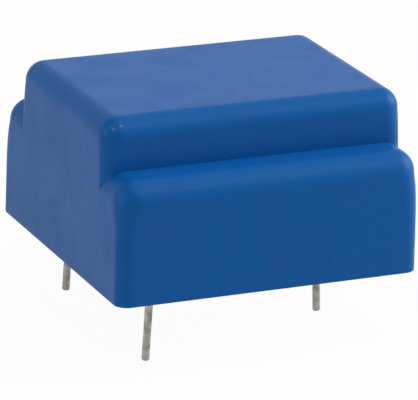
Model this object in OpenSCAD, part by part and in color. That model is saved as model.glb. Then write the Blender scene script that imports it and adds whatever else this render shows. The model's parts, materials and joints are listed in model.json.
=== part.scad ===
// Encapsulated mains transformer for a circuit board: a potted plastic case, an EE core laid flat,
// a two-chamber bobbin and four round pins on a 5 mm grid.
// The origin is the middle of the seating plane, which is the open rim of the case. +Z is up and
// +X runs from the primary pins to the secondary pins. The core sets the size, and the case is
// drawn round the core and the bobbin with named gaps.

/* [Core] */
// Width across the outer legs, along Y
core_w = 20; // [18:0.1:24]
// Length of the two halves together, along X
core_l = 20; // [18:0.1:24]
// Height of the stack of laminations
core_stack = 4; // [3:0.1:4.4]
// Width of the centre leg, along Y
centre_leg_w = 6; // [4:0.1:6.4]
// Width of each outer leg, along Y
outer_leg_w = 3; // [2:0.1:3.8]
// Width of the yoke that joins the legs, along X
yoke_w = 3; // [2.5:0.1:4]
// Number of laminations in a stack
laminations = 8; // [4:1:12]
// Varnish film between two laminations
varnish_t = 0.02; // [0.01:0.01:0.05]
// Gap where the two halves of the core meet
butt_gap = 0.04; // [0.02:0.01:0.2]

/* [Bobbin] */
// Wall of the tube that the coils are wound on
tube_wall = 0.7; // [0.5:0.05:1]
// Clearance between the tube and the centre leg, on each side
leg_fit = 0.1; // [0.05:0.05:0.2]
// Clearance between an end flange and the yoke
yoke_fit = 0.1; // [0.05:0.05:0.3]
// Thickness of each end flange
flange_t = 0.7; // [0.5:0.05:1]
// Thickness of the divider between the two chambers
divider_t = 0.7; // [0.5:0.05:1.2]
// Place of the divider's middle along X
divider_x = 0; // [-1.5:0.1:1.5]
// Clearance between the flanges and the outer legs, on each side
window_fit = 0.1; // [0.05:0.05:0.3]
// Height of the flanges above the windings
flange_over = 0.5; // [0.2:0.1:1.5]
// Depth of the flanges below the windings
flange_under = 0.3; // [0.2:0.05:0.6]
// Corner radius of the flanges
flange_r = 0.8; // [0.3:0.1:1.5]
// Gap between the solder on a pin and the rail above it
rail_gap = 0.09; // [0.05:0.01:0.3]
// Plastic of a rail beyond the axis of its outermost pin
rail_margin = 1.2; // [0.8:0.1:2]
// Clearance between a rail and the core above it
rail_fit = 0.1; // [0.05:0.05:0.3]
// Roof of plastic left over each pin hole
hole_roof = 0.3; // [0.2:0.05:0.5]

/* [Windings] */
// Build of wire on the tube
winding_build = 2; // [1.8:0.05:2.1]
// Gap between a winding and the walls of its chamber
winding_side = 0.05; // [0.02:0.01:0.2]
// Corner radius of the wound wire
winding_r = 1.4; // [0.5:0.1:1.6]
// Thickness of the tape over each winding
tape_t = 0.1; // [0.05:0.01:0.15]
// Slack between a winding and its tape
tape_fit = 0.01; // [0.01:0.01:0.05]

/* [Pins] */
// Distance from the outer face of a flange to the axes of its row of pins, along X
pin_set = 0.6; // [0.55:0.05:1.2]
// Distance between two terminal positions in a row
terminal_pitch = 5; // [4.6:0.1:5.2]
// Diameter of a pin
pin_d = 0.56; // [0.45:0.01:0.7]
// Length of a pin below the seating plane
pin_below = 5.5; // [2.5:0.1:8]
// Lean of the pins away from the middle below the seating plane, in degrees
pin_splay = 2.6; // [0:0.1:4]
// Length of the cone at each end of a pin
pin_chamfer = 0.16; // [0.05:0.01:0.3]
// Clearance round a pin in its hole
pin_fit = 0.01; // [0.01:0.01:0.03]

/* [Lead-outs] */
// Diameter of the twisted lead-out wire
lead_d = 0.16; // [0.1:0.01:0.2]
// Height of a lead above the underside of its winding, where it leaves it
lead_rise = 0.15; // [0.12:0.01:0.2]
// Turns of wire round the root of a pin
lead_turns = 2.5; // [1.5:0.5:2.5]
// Rise of the wrapped wire per turn
lead_pitch = 0.17; // [0.165:0.005:0.2]
// Distance of the notches in the flanges from the side of the winding, along Y
notch_in = 1.5; // [1.2:0.1:2]
// Width of the notch that a lead passes through
notch_w = 0.6; // [0.4:0.05:1]
// Radius of the bend in a lead between its winding and its pin
bend_r = 0.25; // [0.15:0.05:0.4]
// Clearance left round a lead
lead_fit = 0.03; // [0.02:0.01:0.05]
// Thickness of the solder over the wrapped wire
solder_t = 0.1; // [0.06:0.01:0.14]

/* [Case] */
// Wall thickness of the case
wall = 0.9; // [0.6:0.1:1.5]
// Thickness of the roofs of the case
roof = 0.9; // [0.6:0.1:1.5]
// Gap between the core and the end walls at the rim
end_gap = 0.5; // [0.4:0.05:1.5]
// Gap between the core and the side walls at the rim
side_gap = 0.3; // [0.3:0.05:1.5]
// Gap between the core and the roof of the shoulders
shoulder_gap = 0.25; // [0.2:0.05:1]
// Gap between the flanges and the walls of the raised block
raised_gap = 0.35; // [0.2:0.05:1]
// Gap between the flanges and the roof of the raised block
crown_gap = 0.6; // [0.4:0.05:2]
// Draft of all the case's walls, in degrees
draft = 0.5; // [0:0.1:0.8]
// Radius of the top edges of the raised block
raised_r = 1.4; // [1:0.1:2]
// Radius of the top edges of the shoulders
shoulder_r = 1.6; // [1:0.1:2]
// Radius of the case's corners at the rim
corner_r = 1.3; // [0.8:0.1:2]
// Radius of the edges inside the case
inner_r = 0.5; // [0.2:0.05:0.5]
// Depth of the resin's face above the rim
resin_recess = 0.25; // [0.1:0.05:1]
// Resin over the lower edges of the flanges
resin_cover = 0.25; // [0.2:0.05:1]

/* [Hidden] */
CASE_BLUE = [0.10, 0.31, 0.55];
RESIN_GREY = [0.20, 0.21, 0.22];
BOBBIN_CREAM = [0.80, 0.76, 0.66];
STEEL_GREY = [0.45, 0.46, 0.48];
COPPER = [0.72, 0.38, 0.20];
TAPE_YELLOW = [0.85, 0.72, 0.25];
TIN_GREY = [0.66, 0.66, 0.64];
SOLDER_GREY = [0.74, 0.74, 0.76];

// Facets of a full circle: on the case's edges, on small exact rounds and round a wire
edge_fn = 32;
round_fn = 48;
wire_fn = 8;
// Height of the thin disc that starts a wall, and the overlap that keeps a cut clean
disc_h = 0.01;
eps = 0.05;
// Terminal positions in a row, counted from the front
terminals = 4;
// Steps round the bend of a lead, and round one turn of its wrap
bend_steps = 4;
turn_steps = 12;

// Core
window_l = core_l - 2 * yoke_w;
window_y = core_w / 2 - outer_leg_w;
lamination_t = core_stack / laminations - varnish_t;

// Bobbin and windings, across the coil axis
bore_w = centre_leg_w + 2 * leg_fit;
bore_h = core_stack + 2 * leg_fit;
tube_w = bore_w + 2 * tube_wall;
tube_h = bore_h + 2 * tube_wall;
winding_w = tube_w + 2 * winding_build;
winding_h = tube_h + 2 * winding_build;
taped_w = winding_w + 2 * (tape_fit + tape_t);
taped_h = winding_h + 2 * (tape_fit + tape_t);
flange_w = 2 * (window_y - window_fit);

// Heights above the seating plane
flange_z0 = resin_recess + resin_cover;
winding_z0 = flange_z0 + flange_under;
axis_z = winding_z0 + winding_h / 2;
flange_z1 = axis_z + winding_h / 2 + flange_over;
stack_z0 = axis_z - core_stack / 2;
stack_z1 = axis_z + core_stack / 2;
lead_z = winding_z0 + lead_rise;

// Along the coil axis
flange_x1 = window_l / 2 - yoke_fit;
flange_x0 = flange_x1 - flange_t;
winding_x = flange_x0 - winding_side;
pin_x = flange_x1 + pin_set;

// Lead-outs and solder
pin_r = pin_d / 2;
wrap_r = pin_r + pin_fit + lead_d / 2;
wrap_out = wrap_r + lead_d / 2 + lead_fit;
wrap_z0 = lead_z - lead_d / 2 - lead_fit;
wrap_z1 = lead_z + lead_turns * lead_pitch + lead_d / 2 + lead_fit;
solder_r = wrap_out + solder_t;
solder_z0 = wrap_z0 - solder_t / 2;
solder_z1 = wrap_z1 + solder_t / 4;
notch_y = winding_w / 2 - notch_in;

// Terminal rails
rail_x = pin_x + rail_margin;
rail_y = (terminals - 1) * terminal_pitch / 2 + rail_margin;
rail_z = solder_z1 + rail_gap;
rail_top = stack_z0 - rail_fit;

// Pins: each has a side (-1 primary, 1 secondary), a place along Y, and the way along Y from it
// to the notch of its lead
pin_tip_r = pin_r - 0.75 * pin_chamfer;
pin_top = rail_top - hole_roof;
primary_y = 1.5 * terminal_pitch;
secondary_y = 0.5 * terminal_pitch;
PRIMARY_FRONT = [-1, -primary_y, 1];
PRIMARY_REAR = [-1, primary_y, -1];
SECONDARY_FRONT = [1, -secondary_y, -1];
SECONDARY_REAR = [1, secondary_y, 1];
TERMINALS = [PRIMARY_FRONT, PRIMARY_REAR, SECONDARY_FRONT, SECONDARY_REAR];

// Case
case_l = core_l + 2 * (end_gap + wall);
case_d = core_w + 2 * (side_gap + wall);
raised_w = flange_w + 2 * (raised_gap + wall);
shoulder_z = stack_z1 + shoulder_gap + roof;
case_h = flange_z1 + crown_gap + roof;
lean = tan(draft);

// A block that stands on z = 0, with leaning walls, round corners and round top edges
module drafted_block(l, d, h, top_r, foot_r) {
    hull() {
        for (sx = [-1, 1], sy = [-1, 1]) {
            translate([
                sx * (l / 2 - lean * (h - top_r) - top_r),
                sy * (d / 2 - lean * (h - top_r) - top_r),
                h - top_r
            ])
                rotate_extrude($fn = edge_fn)
                    intersection() {
                        circle(r = top_r, $fn = edge_fn);
                        square(top_r);
                    }
            translate([sx * (l / 2 - foot_r), sy * (d / 2 - foot_r), 0])
                cylinder(h = disc_h, r1 = foot_r, r2 = foot_r - lean * disc_h, $fn = edge_fn);
        }
    }
}

// The stepped outline of the case, or with an inset the space inside it
module case_form(inset_wall, inset_roof, top_r_raised, top_r_shoulder, foot_r_raised, foot_r) {
    drafted_block(case_l - 2 * inset_wall, case_d - 2 * inset_wall,
        shoulder_z - inset_roof, top_r_shoulder, foot_r);
    drafted_block(case_l - 2 * inset_wall, raised_w - 2 * inset_wall,
        case_h - inset_roof, top_r_raised, foot_r_raised);
}

module cavity() {
    case_form(wall, roof, inner_r, inner_r, inner_r, inner_r);
}

// A bar along X with rounded long edges, centred on the coil axis
module coil_bar(x0, x1, w, h, r) {
    translate([x0, 0, axis_z])
        rotate([90, 0, 90])
            linear_extrude(height = x1 - x0)
                hull() {
                    for (sy = [-1, 1], sz = [-1, 1])
                        translate([sy * (w / 2 - r), sz * (h / 2 - r)])
                            circle(r = r, $fn = edge_fn);
                }
}

// A box between two corners
module box(p0, p1) {
    translate(p0)
        cube(p1 - p0);
}

// Places what belongs to one pin: its root stands on the local Z, and the coil lies towards -X
module at_pin(t) {
    mirror([t[0] < 0 ? 1 : 0, 0, 0])
        translate([pin_x, t[1], 0])
            children();
}

module housing() {
    color(CASE_BLUE)
        difference() {
            case_form(0, 0, raised_r, shoulder_r, raised_r, corner_r);
            cavity();
        }
}

// One E-shaped lamination of the right half, lying flat
module lamination_outline() {
    x0 = butt_gap / 2;
    x1 = core_l / 2;
    difference() {
        translate([x0, -core_w / 2])
            square([x1 - x0, core_w]);
        for (sy = [-1, 1])
            translate([x0 - eps, sy > 0 ? centre_leg_w / 2 : -window_y])
                square([window_l / 2 - x0 + eps, window_y - centre_leg_w / 2]);
    }
}

module core_half(side) {
    color(STEEL_GREY)
        mirror([side < 0 ? 1 : 0, 0, 0])
            for (i = [0 : laminations - 1])
                translate([0, 0, stack_z0 + varnish_t / 2 + i * (lamination_t + varnish_t)])
                    linear_extrude(height = lamination_t)
                        lamination_outline();
}

// An upright wall of the bobbin, across the coil axis
module bobbin_wall(x0, x1) {
    translate([x0, 0, 0])
        rotate([90, 0, 90])
            linear_extrude(height = x1 - x0)
                hull() {
                    for (sy = [-1, 1], z = [flange_z0 + flange_r, flange_z1 - flange_r])
                        translate([sy * (flange_w / 2 - flange_r), z])
                            circle(r = flange_r, $fn = edge_fn);
                }
}

// The rail that holds one row of pins, under the yoke and behind the flange
module terminal_rail(side) {
    mirror([side < 0 ? 1 : 0, 0, 0])
        box([flange_x0, -rail_y, rail_z], [rail_x, rail_y, rail_top]);
}

// The hole for the root of a pin, blind at the top
module pin_hole() {
    translate([0, 0, -eps])
        cylinder(h = eps + pin_top + pin_fit, r = pin_r + pin_fit, $fn = round_fn);
}

// Distance along Y from a pin to the notch of its lead
function lead_run(t) = abs(abs(t[1]) - notch_y);

// The notch in the flange that lets a lead out to its pin
module lead_notch(t) {
    y = t[1] + t[2] * lead_run(t);
    mirror([t[0] < 0 ? 1 : 0, 0, 0])
        box([flange_x0 - eps, y - notch_w / 2, flange_z0 - eps],
            [flange_x1 + eps, y + notch_w / 2, lead_z + notch_w / 2]);
}

module bobbin() {
    color(BOBBIN_CREAM)
        difference() {
            union() {
                box([-flange_x1, -tube_w / 2, axis_z - tube_h / 2],
                    [flange_x1, tube_w / 2, axis_z + tube_h / 2]);
                bobbin_wall(-flange_x1, -flange_x0);
                bobbin_wall(flange_x0, flange_x1);
                bobbin_wall(divider_x - divider_t / 2, divider_x + divider_t / 2);
                terminal_rail(-1);
                terminal_rail(1);
            }
            box([-flange_x1 - eps, -bore_w / 2, axis_z - bore_h / 2],
                [flange_x1 + eps, bore_w / 2, axis_z + bore_h / 2]);
            for (side = [-1, 1], i = [0 : terminals - 1])
                at_pin([side, (i - (terminals - 1) / 2) * terminal_pitch])
                    pin_hole();
            for (t = TERMINALS) {
                lead_notch(t);
                at_pin(t)
                    translate([0, 0, flange_z0 - eps])
                        cylinder(h = rail_z - flange_z0 + eps, r = solder_r + lead_fit,
                            $fn = round_fn);
            }
        }
}

// Ends of a chamber along X: side -1 is the primary chamber, side 1 the secondary one
function chamber_x0(side) = side < 0 ? -winding_x : divider_x + divider_t / 2 + winding_side;
function chamber_x1(side) = side < 0 ? divider_x - divider_t / 2 - winding_side : winding_x;

module winding(side) {
    color(COPPER)
        difference() {
            coil_bar(chamber_x0(side), chamber_x1(side), winding_w, winding_h, winding_r);
            box([-flange_x1, -tube_w / 2, axis_z - tube_h / 2],
                [flange_x1, tube_w / 2, axis_z + tube_h / 2]);
        }
}

module tape(side) {
    x0 = chamber_x0(side);
    x1 = chamber_x1(side);
    color(TAPE_YELLOW)
        difference() {
            coil_bar(x0, x1, taped_w, taped_h, winding_r + tape_fit + tape_t);
            coil_bar(x0 - eps, x1 + eps, winding_w + 2 * tape_fit, winding_h + 2 * tape_fit,
                winding_r + tape_fit);
        }
}

// A round bar that stands on z = 0, with a cone at its foot
module coned_bar(length) {
    cylinder(h = pin_chamfer, r1 = pin_tip_r, r2 = pin_r, $fn = round_fn);
    translate([0, 0, pin_chamfer])
        cylinder(h = length - pin_chamfer, r = pin_r, $fn = round_fn);
}

// Everything above the mitre between the upright root of a pin and its leaning shank
module above_mitre() {
    reach = pin_top + pin_d;
    rotate([0, -pin_splay / 2, 0])
        translate([-reach, -reach, 0])
            cube(2 * reach);
}

module pin_body() {
    shank = pin_below / cos(pin_splay);
    intersection() {
        translate([0, 0, pin_top])
            mirror([0, 0, 1])
                coned_bar(pin_top + pin_d);
        above_mitre();
    }
    difference() {
        rotate([0, -pin_splay, 0])
            translate([0, 0, -shank])
                coned_bar(shank + pin_d);
        above_mitre();
    }
}

module pin(t) {
    color(TIN_GREY)
        at_pin(t)
            pin_body();
}

// Points of a lead in its pin's own frame, each with its heading in degrees: out of the winding,
// round the bend, along the rail to the pin, and round the pin
function lead_path(t) = concat(
    [[winding_x + lead_fit - pin_x, t[2] * lead_run(t), lead_z, 0]],
    [for (i = [0 : bend_steps])
        let (a = 90 * i / bend_steps)
            [-wrap_r - bend_r + bend_r * sin(a), t[2] * (lead_run(t) - bend_r + bend_r * cos(a)),
                lead_z, -t[2] * a]],
    [for (i = [0 : lead_turns * turn_steps])
        let (a = 180 + t[2] * 360 * i / turn_steps)
            [wrap_r * cos(a), wrap_r * sin(a), lead_z + lead_pitch * i / turn_steps,
                a + t[2] * 90]]
);

// A round wire along such a path
module wire(path, r) {
    n = wire_fn;
    last = (len(path) - 1) * n;
    polyhedron(
        points = [for (p = path, j = [0 : n - 1])
            let (a = 360 * j / n)
                [p[0] - r * cos(a) * sin(p[3]), p[1] + r * cos(a) * cos(p[3]), p[2] + r * sin(a)]],
        faces = concat(
            [[for (j = [0 : n - 1]) j]],
            [for (i = [0 : n : last - n], j = [0 : n - 1])
                let (k = (j + 1) % n)
                    [i + j, i + n + j, i + n + k, i + k]],
            [[for (j = [n - 1 : -1 : 0]) last + j]]
        )
    );
}

module lead(t) {
    color(COPPER)
        at_pin(t)
            wire(lead_path(t), lead_d / 2);
}

// The straight ways that a lead takes through the resin and into its solder, in its pin's frame
module lead_channel(t) {
    half = lead_d / 2 + lead_fit;
    run = lead_run(t);
    x0 = winding_x - pin_x;
    mirror([0, t[2] < 0 ? 1 : 0, 0])
        for (b = [[[x0, run - half], [-wrap_r + half, run + half]],
                  [[-wrap_r - bend_r, run - bend_r], [-wrap_r + half, run + half]],
                  [[-wrap_r - half, 0], [-wrap_r + half, run + half]]])
            box([b[0][0], b[0][1], lead_z - half], [b[1][0], b[1][1], lead_z + half]);
}

// The barrel of solder round the wrapped wire, with its taper down the pin
module solder_barrel() {
    rotate_extrude($fn = round_fn)
        polygon([
            [0, solder_z0 - solder_t],
            [pin_r + pin_fit, solder_z0 - solder_t],
            [solder_r - solder_t / 2, solder_z0],
            [solder_r, solder_z0 + solder_t],
            [solder_r, solder_z1 - solder_t / 2],
            [solder_r - solder_t / 2, solder_z1],
            [0, solder_z1]
        ]);
}

module solder(t) {
    color(SOLDER_GREY)
        at_pin(t)
            difference() {
                solder_barrel();
                translate([0, 0, solder_z0 - solder_t - eps])
                    cylinder(h = solder_z1 - solder_z0 + solder_t + 2 * eps, r = pin_r + pin_fit,
                        $fn = round_fn);
                translate([0, 0, wrap_z0])
                    cylinder(h = wrap_z1 - wrap_z0, r = wrap_out, $fn = round_fn);
                lead_channel(t);
            }
}

// The resin fills the case round everything inside it, down to a face just above the rim
module potting_resin() {
    reach = core_l + core_w;
    color(RESIN_GREY)
        difference() {
            cavity();
            box([-reach, -reach, -eps], [reach, reach, resin_recess]);
            translate([0, 0, stack_z0])
                linear_extrude(height = core_stack)
                    for (side = [0, 1])
                        mirror([side, 0])
                            union() {
                                lamination_outline();
                                translate([0, -centre_leg_w / 2])
                                    square([butt_gap, centre_leg_w]);
                            }
            box([-flange_x1, -tube_w / 2, axis_z - tube_h / 2],
                [flange_x1, tube_w / 2, axis_z + tube_h / 2]);
            coil_bar(-flange_x0, flange_x0, taped_w, taped_h, winding_r + tape_fit + tape_t);
            bobbin();
            for (t = TERMINALS)
                at_pin(t) {
                    pin_hole();
                    solder_barrel();
                    lead_channel(t);
                }
        }
}

housing();
potting_resin();
bobbin();
core_half(-1);  // core_left
core_half(1);  // core_right
winding(-1);  // primary_winding
winding(1);  // secondary_winding
tape(-1);  // primary_tape
tape(1);  // secondary_tape
pin(PRIMARY_FRONT);  // primary_pin_front
pin(PRIMARY_REAR);  // primary_pin_rear
pin(SECONDARY_FRONT);  // secondary_pin_front
pin(SECONDARY_REAR);  // secondary_pin_rear
lead(PRIMARY_FRONT);  // primary_lead_front
lead(PRIMARY_REAR);  // primary_lead_rear
lead(SECONDARY_FRONT);  // secondary_lead_front
lead(SECONDARY_REAR);  // secondary_lead_rear
solder(PRIMARY_FRONT);  // primary_solder_front
solder(PRIMARY_REAR);  // primary_solder_rear
solder(SECONDARY_FRONT);  // secondary_solder_front
solder(SECONDARY_REAR);  // secondary_solder_rear
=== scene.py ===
import json
import logging
import math
from dataclasses import dataclass, field
from enum import Enum
from typing import Protocol, Sequence

import bpy
import numpy as np
from mathutils import Matrix, Vector


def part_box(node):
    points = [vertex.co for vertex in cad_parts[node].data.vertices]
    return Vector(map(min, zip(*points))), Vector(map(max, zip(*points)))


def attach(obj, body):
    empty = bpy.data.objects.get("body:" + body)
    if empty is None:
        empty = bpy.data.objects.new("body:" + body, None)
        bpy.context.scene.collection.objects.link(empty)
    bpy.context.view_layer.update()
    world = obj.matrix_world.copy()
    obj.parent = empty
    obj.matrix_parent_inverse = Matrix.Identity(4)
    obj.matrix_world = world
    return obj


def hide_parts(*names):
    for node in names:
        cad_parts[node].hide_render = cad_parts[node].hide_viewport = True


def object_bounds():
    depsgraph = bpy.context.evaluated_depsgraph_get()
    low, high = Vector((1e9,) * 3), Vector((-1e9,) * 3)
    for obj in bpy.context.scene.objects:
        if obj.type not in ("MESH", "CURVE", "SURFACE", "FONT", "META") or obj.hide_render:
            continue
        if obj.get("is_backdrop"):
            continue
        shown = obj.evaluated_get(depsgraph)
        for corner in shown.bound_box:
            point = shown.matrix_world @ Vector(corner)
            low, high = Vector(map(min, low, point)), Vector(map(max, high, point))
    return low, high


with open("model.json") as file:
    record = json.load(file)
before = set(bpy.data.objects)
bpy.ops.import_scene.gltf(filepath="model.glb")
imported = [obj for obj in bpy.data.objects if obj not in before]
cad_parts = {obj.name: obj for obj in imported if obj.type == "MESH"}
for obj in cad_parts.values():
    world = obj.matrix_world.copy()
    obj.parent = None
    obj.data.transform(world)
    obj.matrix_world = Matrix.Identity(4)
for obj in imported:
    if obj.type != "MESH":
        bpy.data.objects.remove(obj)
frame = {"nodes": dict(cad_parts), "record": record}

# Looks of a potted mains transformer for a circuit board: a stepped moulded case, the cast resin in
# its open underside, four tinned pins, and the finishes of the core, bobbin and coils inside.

MM = 0.001
BODY = "root"
SMOOTH_ANGLE = math.radians(30)
# The range that most of a noise texture's values lie in
NOISE_LOW = 0.3
NOISE_HIGH = 0.7
# The upright edges keep the radius of their foot until close below the top, and widen there
FLARE_POWER = 6
# Step for measuring a slope, and the least squared slope that is divided by
NUDGE = 0.001 * MM
LEAST_SLOPE = 1e-9
WHITE = (1, 1, 1, 1)
LOG = logging.getLogger("transformer")


class Slot(Enum):
    """The record's material slots."""

    CASE = "case_plastic"
    RESIN = "resin"
    PIN = "pin_tin"


class Block(Enum):
    """The block of the case that a point of its skin lies on."""

    BASE = 0
    RAISED = 1
    CREASE = 2


class Row(Enum):
    """A row of pins, with the way along X that it lies from the middle."""

    PRIMARY = -1
    SECONDARY = 1


# ---- Node sheets: a thin layer over a material's nodes ----


class Sheet:
    """A material's node sheet, with the few kinds of node that the finishes use."""

    def __init__(self, name: str) -> None:
        """Starts an empty material.

        Args:
            name: The material's name.
        """
        self.material = bpy.data.materials.new(name)
        self.material.use_nodes = True
        self.nodes = self.material.node_tree.nodes
        self.links = self.material.node_tree.links
        self.nodes.clear()
        place = self.nodes.new("ShaderNodeTexCoord")
        scale = self.nodes.new("ShaderNodeVectorMath")
        scale.operation = "SCALE"
        scale.inputs["Scale"].default_value = 1 / MM
        self.links.new(place.outputs["Object"], scale.inputs[0])
        self.millimetres = scale.outputs[0]

    def stretched(self, x: float, y: float, z: float) -> bpy.types.NodeSocket:
        """Gives the place in millimetres, stretched along each axis.

        Args:
            x: Factor along X.
            y: Factor along Y.
            z: Factor along Z.

        Returns:
            The stretched vector's socket.
        """
        node = self.nodes.new("ShaderNodeVectorMath")
        node.operation = "MULTIPLY"
        node.inputs[1].default_value = (x, y, z)
        self.links.new(self.millimetres, node.inputs[0])
        return node.outputs[0]

    def noise(
        self,
        scale: float,
        detail: float = 2,
        roughness: float = 0.5,
        place: bpy.types.NodeSocket | None = None,
        distortion: float = 0,
    ) -> bpy.types.NodeSocket:
        """Adds a noise texture.

        Args:
            scale: Features per millimetre.
            detail: Octaves of finer noise.
            roughness: Share that each octave keeps.
            place: The vector to read it at, or None for the place in millimetres.
            distortion: Warp of the noise.

        Returns:
            The socket of its value.
        """
        node = self.nodes.new("ShaderNodeTexNoise")
        node.inputs["Scale"].default_value = scale
        node.inputs["Detail"].default_value = detail
        node.inputs["Roughness"].default_value = roughness
        node.inputs["Distortion"].default_value = distortion
        self.links.new(place or self.millimetres, node.inputs["Vector"])
        return node.outputs["Fac"]

    def cells(self, scale: float, smooth: float = 0.6) -> bpy.types.NodeSocket:
        """Adds smooth round cells.

        Args:
            scale: Cells per millimetre.
            smooth: Softness of the borders between cells.

        Returns:
            The socket of the distance to the nearest cell's middle.
        """
        node = self.nodes.new("ShaderNodeTexVoronoi")
        node.feature = "SMOOTH_F1"
        node.inputs["Scale"].default_value = scale
        node.inputs["Smoothness"].default_value = smooth
        self.links.new(self.millimetres, node.inputs["Vector"])
        return node.outputs["Distance"]

    def bands(self, scale: float, axis: str, distortion: float = 0.4) -> bpy.types.NodeSocket:
        """Adds even bands across one axis.

        Args:
            scale: Band density.
            axis: X, Y or Z, the way across the bands.
            distortion: Waviness of the bands.

        Returns:
            The socket of the band's value.
        """
        node = self.nodes.new("ShaderNodeTexWave")
        node.wave_type = "BANDS"
        node.bands_direction = axis
        node.wave_profile = "SIN"
        node.inputs["Scale"].default_value = scale
        node.inputs["Distortion"].default_value = distortion
        node.inputs["Detail"].default_value = 1
        self.links.new(self.millimetres, node.inputs["Vector"])
        return node.outputs["Fac"]

    def remap(
        self, value: bpy.types.NodeSocket, low: float, high: float, to_low: float, to_high: float
    ) -> bpy.types.NodeSocket:
        """Maps one range onto another, with its ends held.

        Args:
            value: The socket to map.
            low: Start of the range it comes in.
            high: End of that range.
            to_low: What low becomes.
            to_high: What high becomes.

        Returns:
            The mapped value's socket.
        """
        node = self.nodes.new("ShaderNodeMapRange")
        node.interpolation_type = "SMOOTHSTEP"
        node.inputs["From Min"].default_value = low
        node.inputs["From Max"].default_value = high
        node.inputs["To Min"].default_value = to_low
        node.inputs["To Max"].default_value = to_high
        self.links.new(value, node.inputs["Value"])
        return node.outputs["Result"]

    def combine(
        self, operation: str, first: bpy.types.NodeSocket, second: bpy.types.NodeSocket | float
    ) -> bpy.types.NodeSocket:
        """Joins two values.

        Args:
            operation: ADD, MULTIPLY, MAXIMUM and so on.
            first: The first value's socket.
            second: The second value's socket, or a number.

        Returns:
            The result's socket.
        """
        node = self.nodes.new("ShaderNodeMath")
        node.operation = operation
        self.links.new(first, node.inputs[0])
        if isinstance(second, (int, float)):
            node.inputs[1].default_value = second
        else:
            self.links.new(second, node.inputs[1])
        return node.outputs[0]

    def blend(
        self,
        factor: bpy.types.NodeSocket,
        first: Sequence[float] | bpy.types.NodeSocket,
        second: Sequence[float] | bpy.types.NodeSocket,
    ) -> bpy.types.NodeSocket:
        """Mixes two colours.

        Args:
            factor: How much of the second.
            first: A colour or a colour's socket.
            second: A colour or a colour's socket.

        Returns:
            The mixed colour's socket.
        """
        node = self.nodes.new("ShaderNodeMix")
        node.data_type = "RGBA"
        self.links.new(factor, node.inputs["Factor"])
        for socket, colour in ((node.inputs[6], first), (node.inputs[7], second)):
            if isinstance(colour, bpy.types.NodeSocket):
                self.links.new(colour, socket)
            else:
                socket.default_value = (*colour, 1)
        return node.outputs[2]

    def tint(
        self,
        value: bpy.types.NodeSocket,
        low: float,
        high: float,
        first: Sequence[float],
        second: Sequence[float],
    ) -> bpy.types.NodeSocket:
        """Goes from one colour to another as a value rises.

        Args:
            value: The value's socket.
            low: Where the second colour starts.
            high: Where it is full.
            first: The colour below.
            second: The colour above.

        Returns:
            The colour's socket.
        """
        return self.blend(self.remap(value, low, high, 0, 1), first, second)

    def sheen(
        self, value: bpy.types.NodeSocket, middle: float, down: float, up: float
    ) -> bpy.types.NodeSocket:
        """Spreads a roughness about its middle with a noise.

        Args:
            value: The noise's socket.
            middle: The roughness to spread.
            down: How far below it the noise's low values go.
            up: How far above it the high values go.

        Returns:
            The roughness's socket.
        """
        return self.remap(value, NOISE_LOW, NOISE_HIGH, middle - down, middle + up)

    def near(self, spot: Vector, reach: float) -> bpy.types.NodeSocket:
        """Gives a soft round patch about one spot.

        Args:
            spot: Its middle, in metres.
            reach: Its radius, in millimetres.

        Returns:
            A value from 1 at the middle to 0 at the reach.
        """
        node = self.nodes.new("ShaderNodeVectorMath")
        node.operation = "DISTANCE"
        node.inputs[1].default_value = tuple(c / MM for c in spot)
        self.links.new(self.millimetres, node.inputs[0])
        return self.remap(node.outputs["Value"], 0, reach, 1, 0)

    def bump(
        self,
        height: bpy.types.NodeSocket,
        depth: float,
        under: bpy.types.NodeSocket | None = None,
    ) -> bpy.types.NodeSocket:
        """Turns a height into a normal.

        Args:
            height: The height's socket, from 0 to 1.
            depth: How deep it goes, in millimetres.
            under: The normal that it lies on, if any.

        Returns:
            The normal's socket.
        """
        node = self.nodes.new("ShaderNodeBump")
        node.inputs["Strength"].default_value = 1
        node.inputs["Distance"].default_value = depth * MM
        self.links.new(height, node.inputs["Height"])
        if under is not None:
            self.links.new(under, node.inputs["Normal"])
        return node.outputs["Normal"]

    def shade(
        self,
        colour: bpy.types.NodeSocket,
        roughness: bpy.types.NodeSocket,
        normal: bpy.types.NodeSocket,
        **constants: float,
    ) -> bpy.types.Material:
        """Closes the sheet with its shader.

        Args:
            colour: The base colour's socket.
            roughness: The roughness's socket.
            normal: The normal's socket.
            **constants: Values of the shader's own sockets, with _ for a space.

        Returns:
            The finished material.
        """
        shader = self.nodes.new("ShaderNodeBsdfPrincipled")
        self.links.new(colour, shader.inputs["Base Color"])
        self.links.new(roughness, shader.inputs["Roughness"])
        self.links.new(normal, shader.inputs["Normal"])
        for name, value in constants.items():
            shader.inputs[name.replace("_", " ")].default_value = value
        out = self.nodes.new("ShaderNodeOutputMaterial")
        self.links.new(shader.outputs[0], out.inputs["Surface"])
        return self.material


# ---- Finishes ----


class Finish(Protocol):
    """Anything that can make a material."""

    def build(self) -> bpy.types.Material:
        """Makes the material."""


@dataclass(frozen=True)
class Scuff:
    """A small rubbed patch on the case: its middle in metres and its reach in millimetres."""

    spot: tuple[float, float, float]
    reach: float


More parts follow.
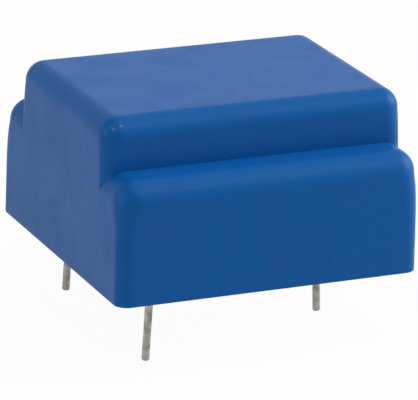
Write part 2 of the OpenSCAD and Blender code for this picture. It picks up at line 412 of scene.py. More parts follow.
@dataclass(frozen=True)
class MouldedPlastic:
    """Satin blue thermoplastic with the fine grain of a spark-eroded mould."""

    colour: tuple[float, float, float] = (0.0035, 0.106, 0.372)
    cloud: tuple[float, float, float] = (0.0070, 0.096, 0.345)
    scuffed: tuple[float, float, float] = (0.16, 0.26, 0.42)
    roughness: float = 0.38
    specular: float = 0.10
    grain_depth: float = 0.016
    grain_scale: float = 7.5
    scuffs: tuple[Scuff, ...] = ()

    def build(self) -> bpy.types.Material:
        """Makes the material.

        Returns:
            The blue plastic.
        """
        sheet = Sheet("moulded_case_plastic")
        clouds = sheet.noise(0.32, detail=3, roughness=0.6, distortion=0.5)
        streaks = sheet.noise(1.6, detail=2, place=sheet.stretched(1, 1, 0.08))
        patches = sheet.combine("MULTIPLY", clouds, 0.7)
        patches = sheet.combine("ADD", patches, sheet.combine("MULTIPLY", streaks, 0.12))
        colour = sheet.tint(patches, 0.34, 0.66, self.colour, self.cloud)
        fine = sheet.noise(self.grain_scale, detail=2, roughness=0.65)
        craters = sheet.cells(self.grain_scale * 0.8)
        grain = sheet.combine("ADD", fine, sheet.combine("MULTIPLY", craters, 0.6))
        rub = None
        for scuff in self.scuffs:
            patch = sheet.near(Vector(scuff.spot), scuff.reach)
            rub = patch if rub is None else sheet.combine("MAXIMUM", rub, patch)
        if rub is not None:
            torn = sheet.remap(sheet.noise(9, detail=1), 0.46, 0.6, 0, 1)
            colour = sheet.blend(sheet.combine("MULTIPLY", rub, torn), colour, self.scuffed)
        roughness = sheet.sheen(clouds, self.roughness, 0.03, 0.04)
        normal = sheet.bump(grain, self.grain_depth)
        return sheet.shade(colour, roughness, normal, Specular_IOR_Level=self.specular)


@dataclass(frozen=True)
class CastResin:
    """Filled casting resin, poured and cured: dark, slightly glossy, with small bubbles."""

    colour: tuple[float, float, float] = (0.030, 0.032, 0.036)
    filler: tuple[float, float, float] = (0.058, 0.060, 0.064)
    roughness: float = 0.34

    def build(self) -> bpy.types.Material:
        """Makes the material.

        Returns:
            The dark resin.
        """
        sheet = Sheet("cast_resin")
        swirl = sheet.noise(0.22, detail=4, roughness=0.55, distortion=1.2)
        specks = sheet.noise(6, detail=2)
        mottled = sheet.combine("ADD", sheet.combine("MULTIPLY", specks, 0.35), swirl)
        colour = sheet.tint(mottled, 0.45, 0.95, self.colour, self.filler)
        ripple = sheet.noise(0.5, detail=2)
        bubbles = sheet.remap(sheet.cells(0.8, smooth=0.1), 0.05, 0.14, 0, 1)
        normal = sheet.bump(ripple, 0.12)
        normal = sheet.bump(bubbles, 0.03, under=normal)
        normal = sheet.bump(specks, 0.004, under=normal)
        roughness = sheet.sheen(swirl, self.roughness, 0.08, 0.1)
        return sheet.shade(colour, roughness, normal)


@dataclass(frozen=True)
class BobbinPlastic:
    """Glass-filled bobbin plastic, cream, with short fibres showing in its surface."""

    colour: tuple[float, float, float] = (0.60, 0.54, 0.40)
    fibre: tuple[float, float, float] = (0.70, 0.66, 0.54)
    roughness: float = 0.5

    def build(self) -> bpy.types.Material:
        """Makes the material.

        Returns:
            The cream plastic.
        """
        sheet = Sheet("bobbin_plastic")
        fibres = sheet.noise(3, detail=3, place=sheet.stretched(0.3, 1.6, 1.6), distortion=0.3)
        fine = sheet.noise(9, detail=2)
        colour = sheet.tint(fibres, 0.4, 0.66, self.colour, self.fibre)
        roughness = sheet.sheen(fibres, self.roughness, -0.06, -0.08)
        normal = sheet.bump(fibres, 0.012)
        normal = sheet.bump(fine, 0.006, under=normal)
        return sheet.shade(colour, roughness, normal)


@dataclass(frozen=True)
class CoreSteel:
    """Silicon steel laminations, grey oxide on the faces, with rolling lines along them."""

    colour: tuple[float, float, float] = (0.24, 0.25, 0.27)
    oxide: tuple[float, float, float] = (0.13, 0.14, 0.17)
    roughness: float = 0.42

    def build(self) -> bpy.types.Material:
        """Makes the material.

        Returns:
            The grey steel.
        """
        sheet = Sheet("core_steel")
        rolling = sheet.noise(4, detail=3, place=sheet.stretched(0.08, 1.5, 1.5))
        bloom = sheet.noise(0.4, detail=4, distortion=0.8)
        colour = sheet.tint(bloom, 0.35, 0.65, self.colour, self.oxide)
        roughness = sheet.sheen(rolling, self.roughness, 0.08, 0.1)
        normal = sheet.bump(rolling, 0.006)
        return sheet.shade(colour, roughness, normal, Metallic=0.85)


@dataclass(frozen=True)
class EnamelledWire:
    """Enamelled copper wire wound side by side, with the turns as fine ridges."""

    colour: tuple[float, float, float] = (0.46, 0.15, 0.045)
    varnish: tuple[float, float, float] = (0.30, 0.075, 0.02)
    roughness: float = 0.28
    turns_per_mm: float = 2.2

    def build(self) -> bpy.types.Material:
        """Makes the material.

        Returns:
            The copper-red wire.
        """
        sheet = Sheet("enamelled_wire")
        turns = sheet.bands(self.turns_per_mm, "X", distortion=0.5)
        tint = sheet.noise(0.8, detail=3)
        colour = sheet.tint(tint, 0.35, 0.7, self.colour, self.varnish)
        roughness = sheet.sheen(tint, self.roughness, 0.05, 0.08)
        normal = sheet.bump(turns, 0.05)
        return sheet.shade(colour, roughness, normal, Metallic=0.7)


@dataclass(frozen=True)
class PolyesterTape:
    """Thin yellow polyester tape pulled tight over the wire, which shows through as ridges."""

    colour: tuple[float, float, float] = (0.72, 0.50, 0.09)
    thin: tuple[float, float, float] = (0.60, 0.36, 0.06)
    roughness: float = 0.24

    def build(self) -> bpy.types.Material:
        """Makes the material.

        Returns:
            The yellow tape.
        """
        sheet = Sheet("polyester_tape")
        ridges = sheet.bands(2.2, "X", distortion=0.6)
        wrinkles = sheet.noise(0.9, detail=3, place=sheet.stretched(0.5, 1.4, 1.4))
        colour = sheet.tint(wrinkles, 0.35, 0.65, self.colour, self.thin)
        roughness = sheet.sheen(wrinkles, self.roughness, 0.06, 0.1)
        normal = sheet.bump(ridges, 0.015)
        normal = sheet.bump(wrinkles, 0.03, under=normal)
        return sheet.shade(colour, roughness, normal)


@dataclass(frozen=True)
class TinnedMetal:
    """Dull hot-dipped tin, with drawing lines, darker specks and a faint bloom."""

    colour: tuple[float, float, float] = (0.42, 0.41, 0.38)
    bloom: tuple[float, float, float] = (0.27, 0.26, 0.235)
    speck: tuple[float, float, float] = (0.10, 0.095, 0.08)
    roughness: float = 0.5

    def build(self) -> bpy.types.Material:
        """Makes the material.

        Returns:
            The dull tin.
        """
        sheet = Sheet("dull_tin")
        clouds = sheet.noise(1.7, detail=3, roughness=0.6)
        lines = sheet.noise(14, detail=2, place=sheet.stretched(1, 1, 0.12))
        specks = sheet.remap(sheet.noise(4.5, detail=2), 0.66, 0.74, 0, 0.7)
        colour = sheet.tint(clouds, 0.35, 0.68, self.colour, self.bloom)
        colour = sheet.blend(specks, colour, self.speck)
        roughness = sheet.sheen(clouds, self.roughness, 0.08, 0.12)
        normal = sheet.bump(lines, 0.006)
        normal = sheet.bump(clouds, 0.02, under=normal)
        return sheet.shade(colour, roughness, normal, Metallic=0.75)


@dataclass(frozen=True)
class SolderMetal:
    """Bright lead-free solder that froze with a faintly crazed skin."""

    colour: tuple[float, float, float] = (0.60, 0.60, 0.59)
    dull: tuple[float, float, float] = (0.42, 0.42, 0.41)
    roughness: float = 0.26

    def build(self) -> bpy.types.Material:
        """Makes the material.

        Returns:
            The bright solder.
        """
        sheet = Sheet("solder")
        crazing = sheet.cells(5, smooth=0.3)
        clouds = sheet.noise(2, detail=3)
        colour = sheet.tint(clouds, 0.4, 0.65, self.colour, self.dull)
        roughness = sheet.sheen(clouds, self.roughness, 0.06, 0.12)
        return sheet.shade(colour, roughness, sheet.bump(crazing, 0.01), Metallic=0.9)


# ---- Mesh helpers ----


def put(name: str, data: bpy.types.ID) -> bpy.types.Object:
    """Makes an object and puts it in the scene.

    Args:
        name: Its name.
        data: Its mesh, light or camera.

    Returns:
        The new object.
    """
    thing = bpy.data.objects.new(name, data)
    bpy.context.scene.collection.objects.link(thing)
    return thing


def make_piece(
    name: str,
    points: np.ndarray,
    faces: Sequence[Sequence[int]],
    material: bpy.types.Material,
    creases: Sequence[tuple[int, int]] = (),
) -> bpy.types.Object:
    """Makes a smooth-shaded piece that rides on the one body.

    Args:
        name: The piece's name.
        points: Its points in metres, one a row.
        faces: Indices of each face's points, outward by the right-hand rule.
        material: Its finish.
        creases: Pairs of points whose edge stays sharp.

    Returns:
        The new object.
    """
    mesh = bpy.data.meshes.new(name)
    mesh.from_pydata(points.tolist(), [], [list(f) for f in faces])
    mesh.validate()
    mesh.materials.append(material)
    mesh.shade_smooth()
    mesh.set_sharp_from_angle(angle=SMOOTH_ANGLE)
    if creases:
        wanted = {tuple(sorted(c)) for c in creases}
        for edge in mesh.edges:
            if tuple(sorted(edge.vertices)) in wanted:
                edge.use_edge_sharp = True
    piece = put(name, mesh)
    evener = piece.modifiers.new("even_normals", "WEIGHTED_NORMAL")
    evener.keep_sharp = True
    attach(piece, BODY)
    return piece


def arc_marks(radius: float, steps: int) -> list[float]:
    """Distances from a sharp edge at which lines divide its rounding evenly.

    Args:
        radius: The rounding's radius.
        steps: Lines over half the rounding.

    Returns:
        Distances from 0 at the edge to the radius.
    """
    return [radius * (1 - math.tan(math.pi / 4 * (1 - i / steps))) for i in range(steps + 1)]


def span(length: float, start: Sequence[float], end: Sequence[float], steps: int) -> np.ndarray:
    """Lines along a face: close ones at each end and even ones between.

    Args:
        length: The face's length.
        start: Distances of the close lines from the start.
        end: Distances of the close lines from the end.
        steps: Even steps between the two.

    Returns:
        The places of all the lines, from 0 to the length.
    """
    middle = np.linspace(start[-1], length - end[-1], steps + 1)
    return np.concatenate([start[:-1], middle, length - np.array(end[::-1])[1:]])


# ---- The moulded case ----


@dataclass
class RoundedBlock:
    """A block that stands on the seating plane, with leaning walls and rounded edges."""

    half_x: float
    half_y: float
    height: float
    top_r: float
    foot_r: float
    lean: float

    def distance(self, p: np.ndarray) -> np.ndarray:
        """Signed distance of points from the block's skin.

        Args:
            p: Points, one a row.

        Returns:
            One distance a point, negative inside.
        """
        rise = np.clip(p[:, 2] / (self.height - self.top_r), 0, 1) ** FLARE_POWER
        radius = self.foot_r + (self.top_r - self.foot_r) * rise
        q = np.stack(
            [
                np.abs(p[:, 0]) - self.half_x + self.lean * p[:, 2] + radius,
                np.abs(p[:, 1]) - self.half_y + self.lean * p[:, 2] + radius,
                p[:, 2] - self.height + radius,
            ],
            axis=1,
        )
        outside = np.linalg.norm(np.maximum(q, 0), axis=1)
        return outside + np.minimum(q.max(axis=1), 0) - radius

    def settle(self, p: np.ndarray, steps: int = 5) -> np.ndarray:
        """Moves points onto the block's skin, each along the shortest way.

        Args:
            p: Points near the skin.
            steps: How often to correct them.

        Returns:
            The moved points.
        """
        for _ in range(steps):
            away = self.distance(p)
            slope = np.stack(
                [(self.distance(p + NUDGE * axis) - away) / NUDGE for axis in np.eye(3)], axis=1
            )
            p = p - slope * (away / np.maximum((slope**2).sum(axis=1), LEAST_SLOPE))[:, None]
        return p


@dataclass
class SteppedSkin:
    """One skin of the stepped case, outer or inner: a base block with a raised block along it."""

    base: RoundedBlock
    raised: RoundedBlock
    arc_steps: int = 12
    length_steps: int = 20
    top_steps: int = 18
    wall_steps: int = 8
    ledge_steps: int = 3
    crease_rounds: int = 40
    rim_marks: tuple[float, ...] = (0, 0.06 * MM, 0.35 * MM)
    crease_marks: tuple[float, ...] = (0, 0.16 * MM, 0.36 * MM, 0.7 * MM)
    sites: dict[tuple[int, int, int], int] = field(default_factory=dict)
    places: list[tuple[float, float, float]] = field(default_factory=list)
    blocks: list[Block] = field(default_factory=list)
    faces: list[tuple[int, ...]] = field(default_factory=list)

    def lay_lines(self) -> None:
        """Sets the lines along X, Y and Z that the skin's faces lie between."""
        base, raised = self.base, self.raised
        round_base = arc_marks(base.top_r, self.arc_steps)
        round_raised = arc_marks(raised.top_r, self.arc_steps)
        length = 2 * base.half_x
        self.x_lines = span(length, round_base, round_base, self.length_steps) - base.half_x
        depth = base.half_y - raised.half_y
        shelf = span(depth, self.crease_marks, round_base, self.ledge_steps)
        middle = span(2 * raised.half_y, round_raised, round_raised, self.top_steps) - raised.half_y
        outer = raised.half_y + shelf
        self.y_lines = np.concatenate([-outer[::-1], middle[1:-1], outer])
        lower = span(base.height, self.rim_marks, round_base, self.wall_steps)
        climb = raised.height - base.height
        upper = base.height + span(climb, self.crease_marks, round_raised, self.ledge_steps)
        self.z_lines = np.concatenate([lower, upper[1:]])
        self.y_step = len(shelf) - 1
        self.z_step = len(lower) - 1
        self.last = (len(self.x_lines) - 1, len(self.y_lines) - 1, len(self.z_lines) - 1)

    def block_of(self, i: int, j: int, k: int) -> Block:
        """Says which block's skin a crossing of lines lies on.

        Args:
            i: Number of the line along X; not used.
            j: Number of the line along Y.
            k: Number of the line along Z.

        Returns:
            The block, or the crease where the two blocks meet.
        """
        inward = min(j, self.last[1] - j) - self.y_step
        downward = self.z_step - k
        if inward == downward and 0 <= inward < self.arc_steps:
            return Block.CREASE
        if inward < 0 or downward > inward:
            return Block.BASE
        return Block.RAISED

    def site(self, i: int, j: int, k: int) -> int:
        """Gives the point at a crossing of lines, made the first time it is asked for.

        Args:
            i: Number of the line along X.
            j: Number of the line along Y.
            k: Number of the line along Z.

        Returns:
            The point's index.
        """
        key = (i, j, k)
        if key not in self.sites:
            self.sites[key] = len(self.places)
            self.places.append((self.x_lines[i], self.y_lines[j], self.z_lines[k]))
            self.blocks.append(self.block_of(i, j, k))
        return self.sites[key]

    def girth(self) -> list[tuple[int, int]]:
        """Lists the crossings round the stepped outline, from the front rim over to the rear.

        Returns:
            Pairs of line numbers along Y and Z.
        """
        a, b = self.y_step, self.last[1] - self.y_step
        n, step, top = self.last[1], self.z_step, self.last[2]
        way = [(0, k) for k in range(step)]
        way += [(j, step) for j in range(a)]
        way += [(a, k) for k in range(step, top)]
        way += [(j, top) for j in range(a, b)]
        way += [(b, k) for k in range(top, step, -1)]
        way += [(j, step) for j in range(b, n)]
        way += [(n, k) for k in range(step, -1, -1)]
        return way

    def cover(self) -> None:
        """Lays the faces over the long sides and both ends."""
        way = self.girth()
        for i in range(self.last[0]):
            for (j0, k0), (j1, k1) in zip(way, way[1:]):
                self.faces.append(
                    (
                        self.site(i, j0, k0),
                        self.site(i + 1, j0, k0),
                        self.site(i + 1, j1, k1),
                        self.site(i, j1, k1),
                    )
                )
        for i, turned in ((0, True), (self.last[0], False)):
            for j in range(self.last[1]):
                high = self.last[2] if self.y_step <= j < self.last[1] - self.y_step else self.z_step
                for k in range(high):
                    corners = [
                        self.site(i, j, k),
                        self.site(i, j + 1, k),
                        self.site(i, j + 1, k + 1),
                        self.site(i, j, k + 1),
                    ]
                    self.faces.append(tuple(corners[::-1] if turned else corners))

    def settled(self) -> np.ndarray:
        """Moves every point onto the skin that it belongs to.

        Returns:
            The points in metres.
        """
        points = np.array(self.places)
        blocks = np.array([b.value for b in self.blocks])
        on_base = blocks == Block.BASE.value
        on_raised = blocks == Block.RAISED.value
        on_crease = blocks == Block.CREASE.value
        heights = points[:, 2].copy()
        points[on_base] = self.base.settle(points[on_base])
        points[on_raised] = self.raised.settle(points[on_raised])
        crease = points[on_crease]
        for _ in range(self.crease_rounds):
            crease = self.raised.settle(self.base.settle(crease, 1), 1)
        points[on_crease] = crease
        at_rim = heights == 0
        points[at_rim, 2] = 0
        return points

    def rim(self) -> list[int]:
        """Lists the points of the skin's open edge, once round.

        Returns:
            Indices of the points.
        """
        nx, ny = self.last[0], self.last[1]
        way = [(i, 0) for i in range(nx)]
        way += [(nx, j) for j in range(ny)]
        way += [(i, ny) for i in range(nx, 0, -1)]
        way += [(0, j) for j in range(ny, 0, -1)]
        return [self.sites[(i, j, 0)] for i, j in way]

    def crease_edges(self) -> list[tuple[int, int]]:
        """Lists the edges along which the two blocks meet.

        Returns:
            Pairs of points.
        """
        found = []
        for a, b in ((self.y_step, 1), (self.last[1] - self.y_step, -1)):
            line = [(0, a + b * s, self.z_step - s) for s in range(self.arc_steps, 0, -1)]
            line += [(i, a, self.z_step) for i in range(self.last[0] + 1)]
            line += [(self.last[0], a + b * s, self.z_step - s) for s in range(1, self.arc_steps + 1)]
            found += [(self.sites[p], self.sites[q]) for p, q in zip(line, line[1:])]
        return found

    def build(self) -> np.ndarray:
        """Makes the skin's lines, faces and points.

        Returns:
            The points in metres.
        """
        self.lay_lines()
        self.cover()
        return self.settled()


@dataclass
class CaseShell:
    """The moulded case: a stepped thin-walled shell, open below, with rounded edges."""

    wall: float = 0.9 * MM
    roof: float = 0.9 * MM
    raised_r: float = 1.4 * MM
    shoulder_r: float = 1.6 * MM
    corner_r: float = 0.95 * MM
    inner_r: float = 0.5 * MM
    draft: float = math.radians(0.5)
    rim_break: float = 0.02 * MM
    scuff_drop: float = 0.4
    scuff_in: float = 0.55
    scuff_back: float = 0.35
    scuff_reaches: tuple[float, float] = (0.35, 0.22)

    def __post_init__(self) -> None:
        """Measures the CAD housing: its box, and the height and depth of its two blocks."""
        low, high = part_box("housing")
        self.half_x = (high.x - low.x) / 2
        self.half_y = (high.y - low.y) / 2
        self.height = high.z
        mesh = frame["nodes"]["housing"].data
        points = np.array([v.co for v in mesh.vertices])
        lean = math.tan(self.draft)
        beside = np.abs(points[:, 1]) > self.half_y - self.shoulder_r - self.wall
        self.shoulder_z = points[beside, 2].max()
        above = points[points[:, 2] > self.shoulder_z + self.roof]
        self.raised_y = (np.abs(above[:, 1]) + lean * above[:, 2]).max()

    def skin(self, inset: float, roof: float, radii: tuple[float, float, float, float]) -> SteppedSkin:
        """Makes the outer or the inner skin.

        Args:
            inset: How far its walls lie inside the outer skin.
            roof: How far its roofs lie below the outer skin.
            radii: Rounding of the shoulders, of the raised block and of the two feet.

        Returns:
            The skin, with its lines and faces still to be made.
        """
        shoulder_r, raised_r, base_foot, raised_foot = radii
        lean = math.tan(self.draft)
        half_x = self.half_x - inset
        base = RoundedBlock(
            half_x, self.half_y - inset, self.shoulder_z - roof, shoulder_r, base_foot, lean
        )
        raised = RoundedBlock(
            half_x, self.raised_y - inset, self.height - roof, raised_r, raised_foot, lean
        )
        return SteppedSkin(base, raised)

    def scuffs(self) -> tuple[Scuff, ...]:
        """Places the two small rubs at the raised block's upper front left corner.

        Returns:
            The scuffs.
        """
        radius = self.raised_r
        y = self.scuff_back * radius - self.raised_y
        z = self.height - self.scuff_drop * radius
        rub = Scuff((self.scuff_in * radius - self.half_x, y, z), self.scuff_reaches[0])
        beside = Scuff((radius - self.half_x, y, z), self.scuff_reaches[1])
        return (rub, beside)

    def build(self, finish: MouldedPlastic) -> bpy.types.Object:
        """Makes the shell.

        Args:
            finish: Its plastic.

        Returns:
            The closed shell, which stands for the CAD housing.
        """
        outer = self.skin(0, 0, (self.shoulder_r, self.raised_r, self.corner_r, self.corner_r))
        inner = self.skin(self.wall, self.roof, (self.inner_r,) * 4)
        outer_points, inner_points = outer.build(), inner.build()
        offset = len(outer_points)
        points = np.concatenate([outer_points, inner_points])
        rim_out = outer.rim()
        rim_in = [offset + i for i in inner.rim()]
        for ring, way in ((rim_out, 1), (rim_in, -1)):
            centre = points[ring].mean(axis=0)
            ahead = centre - points[ring]
            ahead[:, 2] = 0
            ahead /= np.linalg.norm(ahead, axis=1)[:, None]
            points[ring] += way * self.rim_break * ahead
        faces = list(outer.faces)
        faces += [tuple(offset + i for i in f[::-1]) for f in inner.faces]
        turns = len(rim_out)
        for s in range(turns):
            t = (s + 1) % turns
            faces.append((rim_out[s], rim_in[s], rim_in[t], rim_out[t]))
        plastic = finish.build()
        shell = make_piece("case_shell", points, faces, plastic, outer.crease_edges())
        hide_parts("housing")
        return shell


# ---- Pins and resin ----


def ring_faces(rings: int, turns: int, closed: bool) -> list[tuple[int, ...]]:
    """Faces between rings of points.

    Args:
        rings: How many rings there are.
        turns: Points in each ring.
        closed: True if the last ring joins the first one.

    Returns:
        Faces over all the rings.
    """
    faces = []
    for r in range(rings if closed else rings - 1):
        a, b = r * turns, (r + 1) % rings * turns
        for s in range(turns):
            t = (s + 1) % turns
            faces.append((a + s, a + t, b + t, b + s))
    return faces


@dataclass
class TinnedPin:
    """A round tinned pin: an upright root in the bobbin, a soft bend and a leaning shank."""

    node: str
    row: Row
    x: float
    y: float
    radius: float
    lean: float
    top: float
    tip: float
    bend_reach: float = 0.9 * MM
    tip_round: float = 0.14 * MM
    tip_share: float = 0.62
    swell: float = 0.006 * MM
    wave_share: float = 0.6
    quick_share: float = 0.6
    waves_per_mm: tuple[float, float] = (2.1, 4.7)
    turns: int = 40
    tip_rings: int = 7
    shank_rings: int = 46

    @classmethod
    def from_mount(cls, mount: dict) -> "TinnedPin":
        """Takes a pin's place, radius and lean from its mount and its solder joint.

        Args:
            mount: The record's mount, named as the pin's node.

        Returns:
            The pin.
        """
        node = mount["name"]
        low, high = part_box(node)
        joint_low, joint_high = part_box(node.replace("pin", "solder"))
        joint = (joint_low + joint_high) / 2
        axis = mount["axis"]
        return cls(
            node=node,
            row=Row.PRIMARY if joint.x < 0 else Row.SECONDARY,
            x=joint.x,
            y=mount["pos_m"][1],
            radius=mount["dims"]["r_mm"] * MM,
            lean=math.atan2(abs(axis[0]), -axis[2]),
            top=high.z,
            tip=low.z,
        )

    def axis_at(self, z: float) -> tuple[float, float]:
        """Follows the pin's axis.

        Args:
            z: A height along the pin.

        Returns:
            How far the axis has moved outward there, and its slope.
        """
        slope = math.tan(self.lean)
        if z >= self.bend_reach:
            return 0.0, 0.0
        if z <= -self.bend_reach:
            return -z * slope, slope
        share = (self.bend_reach - z) / (2 * self.bend_reach)
        return slope * self.bend_reach * share**2, slope * share

    def rings(self) -> list[tuple[float, float]]:
        """Heights and radii of the rings along the pin.

        Returns:
            Pairs of height and radius, from the tip up to the top.
        """
        low = self.tip + self.radius * math.sin(self.lean)
        found = []
        for s in range(self.tip_rings):
            angle = math.pi / 2 * s / (self.tip_rings - 1)
            share = self.tip_share + (1 - self.tip_share) * math.sin(angle)
            found.append((low + self.tip_round * (1 - math.cos(angle)), self.radius * share))
        phase = 2 * self.y / MM + self.x / MM
        slow, quick = self.waves_per_mm
        for z in np.linspace(low + 2 * self.tip_round, self.top - self.tip_round, self.shank_rings):
            wave = math.sin(slow * z / MM + phase)
            wave += self.quick_share * math.sin(quick * z / MM + 2 * phase)
            found.append((z, self.radius - self.swell * (1 + self.wave_share * wave)))
        found.append((self.top, self.radius - self.swell))
        return found

    def build(self, tin: bpy.types.Material) -> bpy.types.Object:
        """Makes the pin.

        Args:
            tin: Its finish.

        Returns:
            The pin, which stands for its CAD node.
        """
        way = self.row.value
        rings = self.rings()
        points = []
        for z, radius in rings:
            shift, slope = self.axis_at(z)
            for s in range(self.turns):
                angle = 2 * math.pi * s / self.turns
                across = radius * math.cos(angle)
                points.append(
                    (
                        self.x + way * (shift + across),
                        self.y + way * radius * math.sin(angle),
                        z + slope * across,
                    )
                )
        faces = ring_faces(len(rings), self.turns, closed=False)
        faces.append(tuple(range(self.turns - 1, -1, -1)))
        last = (len(rings) - 1) * self.turns
        faces.append(tuple(range(last, last + self.turns)))
        name = f"tinned_{self.node}"
        pin = make_piece(name, np.array(points), faces, tin)
        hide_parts(self.node)
        return pin


@dataclass
class ResinPour:
    """The poured resin: its cast body, and the edges where it climbed the walls and the pins."""

    creep_wall: float = 0.45 * MM
    rise_wall: float = 0.14 * MM
    creep_pin: float = 0.5 * MM
    rise_pin: float = 0.18 * MM
    bite: float = 0.03 * MM
    corner_r: float = 0.5 * MM
    profile_steps: int = 8
    corner_steps: int = 12
    collar_turns: int = 40
    collar_wobble: float = 0.08
    collar_lobes: int = 3
    climb_power: float = 2.4

    def wall_line(self, half_x: float, half_y: float, inset: float) -> list[tuple[float, float]]:
        """Draws a rounded rectangle inside the case wall.

        Args:
            half_x: Half its length.
            half_y: Half its depth.
            inset: How far it lies inside that.

        Returns:
            Its points, once round.
        """
        radius = self.corner_r + max(inset, 0) / 2
        line = []
        for quarter in range(4):
            sx = 1 if quarter in (0, 3) else -1
            sy = 1 if quarter in (0, 1) else -1
            for s in range(self.corner_steps + 1):
                angle = math.pi / 2 * (quarter + s / self.corner_steps)
                x = sx * (half_x - inset - radius) + radius * math.cos(angle)
                y = sy * (half_y - inset - radius) + radius * math.sin(angle)
                line.append((x, y))
        return line

    def section(self, creep: float, rise: float) -> list[tuple[float, float]]:
        """Gives the section of a concave edge of resin.

        Args:
            creep: How far it reaches over the resin's face.
            rise: How far it climbs.

        Returns:
            Pairs of distance from the wall and height over the resin's face.
        """
        steps = self.profile_steps
        curve = []
        for i in range(steps + 1):
            share = i / steps
            curve.append((creep * i / steps, -rise * (1 - share) ** self.climb_power))
        return [(-self.bite, -rise), *curve, (creep, self.bite), (-self.bite, self.bite)]

    def wall_edge(self, resin: bpy.types.Material) -> bpy.types.Object:
        """Makes the edge along the case wall.

        Args:
            resin: The resin's material.

        Returns:
            The edge.
        """
        low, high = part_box("potting_resin")
        section = self.section(self.creep_wall, self.rise_wall)
        points = []
        for inset, drop in section:
            line = self.wall_line(high.x, high.y, inset)
            points += [(x, y, low.z + drop) for x, y in line]
        faces = ring_faces(len(section), len(line), closed=True)
        return make_piece("resin_edge_wall", np.array(points), faces, resin)

    def collar(self, pin: TinnedPin, resin: bpy.types.Material) -> bpy.types.Object:
        """Makes the resin that climbed one pin.

        Args:
            pin: The pin.
            resin: The resin's material.

        Returns:
            The collar.
        """
        face_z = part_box("potting_resin")[0].z
        section = self.section(self.creep_pin, self.rise_pin)
        points = []
        for reach, drop in section:
            for s in range(self.collar_turns):
                angle = 2 * math.pi * s / self.collar_turns
                wobble = 1 + self.collar_wobble * math.sin(self.collar_lobes * angle + pin.y / MM)
                radius = pin.radius + (reach * wobble if reach > 0 else reach)
                x = pin.x + radius * math.cos(angle)
                y = pin.y + radius * math.sin(angle)
                points.append((x, y, face_z + drop))
        faces = [f[::-1] for f in ring_faces(len(section), self.collar_turns, closed=True)]
        name = pin.node.replace("pin", "resin_collar")
        return make_piece(name, np.array(points), faces, resin)

    def build(self, pins: Sequence[TinnedPin]) -> list[bpy.types.Object]:
        """Dresses the cast body and makes its edges.

        Args:
            pins: The pins that stand in it.

        Returns:
            The pieces of resin.
        """
        resin = CastResin().build()
        body = frame["nodes"]["potting_resin"]
        dress(body, resin)
        return [body, self.wall_edge(resin)] + [self.collar(pin, resin) for pin in pins]


# ---- What the resin hides ----


def dress(node: bpy.types.Object, material: bpy.types.Material) -> None:
    """Gives a carried-over CAD node its finish.

    Args:
        node: The node.
        material: Its material.
    """
    for place in node.material_slots:
        place.material = material
    if not node.material_slots:
        node.data.materials.append(material)


@dataclass
class WoundCore:
    """The core, bobbin, windings, tapes, lead-outs and solder joints inside the resin."""

    finishes: tuple[tuple[str, Finish], ...] = (
        ("core", CoreSteel()),
        ("bobbin", BobbinPlastic()),
        ("winding", EnamelledWire()),
        ("lead", EnamelledWire(turns_per_mm=6)),
        ("tape", PolyesterTape()),
        ("solder", SolderMetal()),
    )

    def build(self) -> list[bpy.types.Object]:
        """Dresses the hidden CAD nodes.

        Returns:
            The nodes.
        """
        dressed = []
        for word, finish in self.finishes:
            material = finish.build()
            for name, node in sorted(frame["nodes"].items()):
                if word in name.split("_"):
                    dress(node, material)
                    dressed.append(node)
        return dressed


# ---- Studio ----


@dataclass(frozen=True)
class Lamp:
    """A soft rectangular lamp aimed at the transformer."""

    name: str
    azimuth: float
    elevation: float
    reach: float
    size: float
    power: float

    def build(self, aim: Vector) -> None:
        """Hangs the lamp.

        Args:
            aim: What it points at.
        """
        light = bpy.data.lights.new(self.name, "AREA")
        light.shape = "SQUARE"
        light.size = self.size
        light.energy = self.power
        lamp = put(self.name, light)
        away = direction(self.azimuth, self.elevation)
        lamp.location = aim + away * self.reach
        lamp.rotation_mode = "QUATERNION"
        lamp.rotation_quaternion = (-away).to_track_quat("-Z", "Y")


def direction(azimuth: float, elevation: float) -> Vector:
    """Gives the way from the object towards a place round it.

    Args:
        azimuth: Degrees round the object, 0 in front of it and 90 at its right.
        elevation: Degrees above the horizon.

    Returns:
        A unit vector.
    """
    a, e = math.radians(azimuth), math.radians(elevation)
    return Vector((math.sin(a) * math.cos(e), -math.cos(a) * math.cos(e), math.sin(e)))


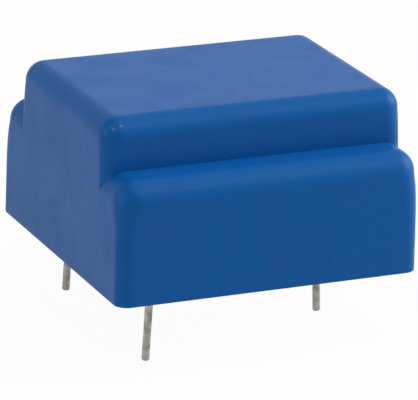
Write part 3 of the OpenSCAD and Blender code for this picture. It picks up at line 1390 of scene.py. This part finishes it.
@dataclass
class Studio:
    """A white surround with a pale floor and soft lamps."""

    ambient: float = 0.14
    floor_half: float = 600 * MM
    floor_colour: tuple[float, float, float] = (0.80, 0.80, 0.80)
    shadow_share: float = 0.04
    lamps: tuple[Lamp, ...] = (
        Lamp("lamp_top", azimuth=20, elevation=80, reach=0.40, size=0.30, power=0.41),
        Lamp("lamp_key", azimuth=25, elevation=50, reach=0.40, size=0.20, power=0.30),
        Lamp("lamp_right", azimuth=80, elevation=25, reach=0.40, size=0.24, power=1.36),
        Lamp("lamp_left", azimuth=-95, elevation=15, reach=0.40, size=0.24, power=0.47),
    )

    def seen_share(self, nodes: bpy.types.Nodes, links: bpy.types.NodeLinks) -> bpy.types.NodeSocket:
        """Tells the rays that see the surround itself from those that light the object.

        Args:
            nodes: The tree's nodes.
            links: The tree's links.

        Returns:
            A socket that is 1 for a camera, glossy or transmission ray.
        """
        path = nodes.new("ShaderNodeLightPath")
        share = path.outputs["Is Camera Ray"]
        for name in ("Is Glossy Ray", "Is Transmission Ray"):
            either = nodes.new("ShaderNodeMath")
            either.operation = "MAXIMUM"
            links.new(share, either.inputs[0])
            links.new(path.outputs[name], either.inputs[1])
            share = either.outputs[0]
        return share

    def mix_by_share(
        self,
        tree: bpy.types.NodeTree,
        share: bpy.types.NodeSocket,
        unseen: bpy.types.Node,
        seen: bpy.types.Node,
        output: str,
    ) -> None:
        """Mixes two shaders by a share and sends them to the tree's output.

        Args:
            tree: The tree.
            share: How much of the second.
            unseen: The shader that lights the object.
            seen: The shader that the camera sees.
            output: The output node's type.
        """
        mix = tree.nodes.new("ShaderNodeMixShader")
        out = tree.nodes.new(output)
        tree.links.new(share, mix.inputs[0])
        tree.links.new(unseen.outputs[0], mix.inputs[1])
        tree.links.new(seen.outputs[0], mix.inputs[2])
        tree.links.new(mix.outputs[0], out.inputs["Surface"])

    def build_world(self) -> None:
        """Makes the world: white where it is seen, and a plain grey light on the object."""
        world = bpy.data.worlds.new("white_surround")
        world.use_nodes = True
        bpy.context.scene.world = world
        nodes, links = world.node_tree.nodes, world.node_tree.links
        nodes.clear()
        shades = []
        for strength in (self.ambient, 1):
            shade = nodes.new("ShaderNodeBackground")
            shade.inputs["Color"].default_value = WHITE
            shade.inputs["Strength"].default_value = strength
            shades.append(shade)
        share = self.seen_share(nodes, links)
        self.mix_by_share(world.node_tree, share, *shades, "ShaderNodeOutputWorld")

    def build_floor(self, height: float) -> None:
        """Lays the floor under the pins' tips.

        Args:
            height: Height of the floor.
        """
        half = self.floor_half
        mesh = bpy.data.meshes.new("studio_floor")
        corners = [(-half, -half), (half, -half), (half, half), (-half, half)]
        mesh.from_pydata([(x, y, height) for x, y in corners], [], [(0, 1, 2, 3)])
        floor = put("studio_floor", mesh)
        material = bpy.data.materials.new("studio_paper")
        material.use_nodes = True
        nodes, links = material.node_tree.nodes, material.node_tree.links
        nodes.clear()
        paper = nodes.new("ShaderNodeBsdfDiffuse")
        paper.inputs["Color"].default_value = (*self.floor_colour, 1)
        white = nodes.new("ShaderNodeEmission")
        white.inputs["Color"].default_value = WHITE
        white.inputs["Strength"].default_value = 1
        share = nodes.new("ShaderNodeMath")
        share.operation = "MULTIPLY"
        share.inputs[1].default_value = 1 - self.shadow_share
        links.new(self.seen_share(nodes, links), share.inputs[0])
        self.mix_by_share(material.node_tree, share.outputs[0], paper, white, "ShaderNodeOutputMaterial")
        mesh.materials.append(material)
        floor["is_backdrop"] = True

    def build(self, aim: Vector, floor_z: float) -> None:
        """Sets up the surround.

        Args:
            aim: What the lamps point at.
            floor_z: Height of the floor.
        """
        self.build_world()
        self.build_floor(floor_z)
        for lamp in self.lamps:
            lamp.build(aim)


@dataclass
class Viewpoint:
    """The camera: a long lens a little above the case, at its front left."""

    azimuth: float = -24.16
    elevation: float = 18.852
    distance: float = 277.053 * MM
    roll: float = 1.615
    lens: float = 334.29
    sensor: float = 36.0
    clip_factor: float = 20
    aim: Vector = field(default_factory=lambda: Vector((0.132, 0, 2.961)) * MM)

    def build(self) -> bpy.types.Object:
        """Makes the camera.

        Returns:
            The camera.
        """
        data = bpy.data.cameras.new("viewpoint")
        data.lens = self.lens
        data.sensor_width = self.sensor
        data.clip_start = self.distance / self.clip_factor
        data.clip_end = self.distance * self.clip_factor
        camera = put("viewpoint", data)
        back = direction(self.azimuth, self.elevation)
        right = Vector((0, 0, 1)).cross(back).normalized()
        up = back.cross(right)
        turn = math.radians(self.roll)
        side = right * math.cos(turn) + up * math.sin(turn)
        rise = up * math.cos(turn) - right * math.sin(turn)
        place = Matrix((side, rise, back)).transposed().to_4x4()
        place.translation = self.aim + back * self.distance
        camera.matrix_world = place
        bpy.context.scene.camera = camera
        return camera


def report(pieces: Sequence[bpy.types.Object]) -> None:
    """Logs each piece's name.

    Args:
        pieces: The pieces just made or dressed.
    """
    for piece in pieces:
        LOG.info("made %s", piece.name)


def main() -> None:
    """Builds the transformer's pieces in order, then the studio and the camera."""
    logging.basicConfig(level=logging.INFO, format="%(name)s: %(message)s")
    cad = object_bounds()
    low, high = cad
    bpy.context.scene.view_settings.view_transform = "Standard"
    Viewpoint().build()
    shell = CaseShell()
    report([shell.build(MouldedPlastic(scuffs=shell.scuffs()))])
    mounts = [m for m in frame["record"]["mounts"] if m["kind"] == "pin"]
    pins = [TinnedPin.from_mount(mount) for mount in mounts]
    tin = TinnedMetal().build()
    report([pin.build(tin) for pin in pins])
    report(ResinPour().build(pins))
    report(WoundCore().build())
    Studio().build((low + high) / 2, low.z)


if __name__ == "__main__":
    main()
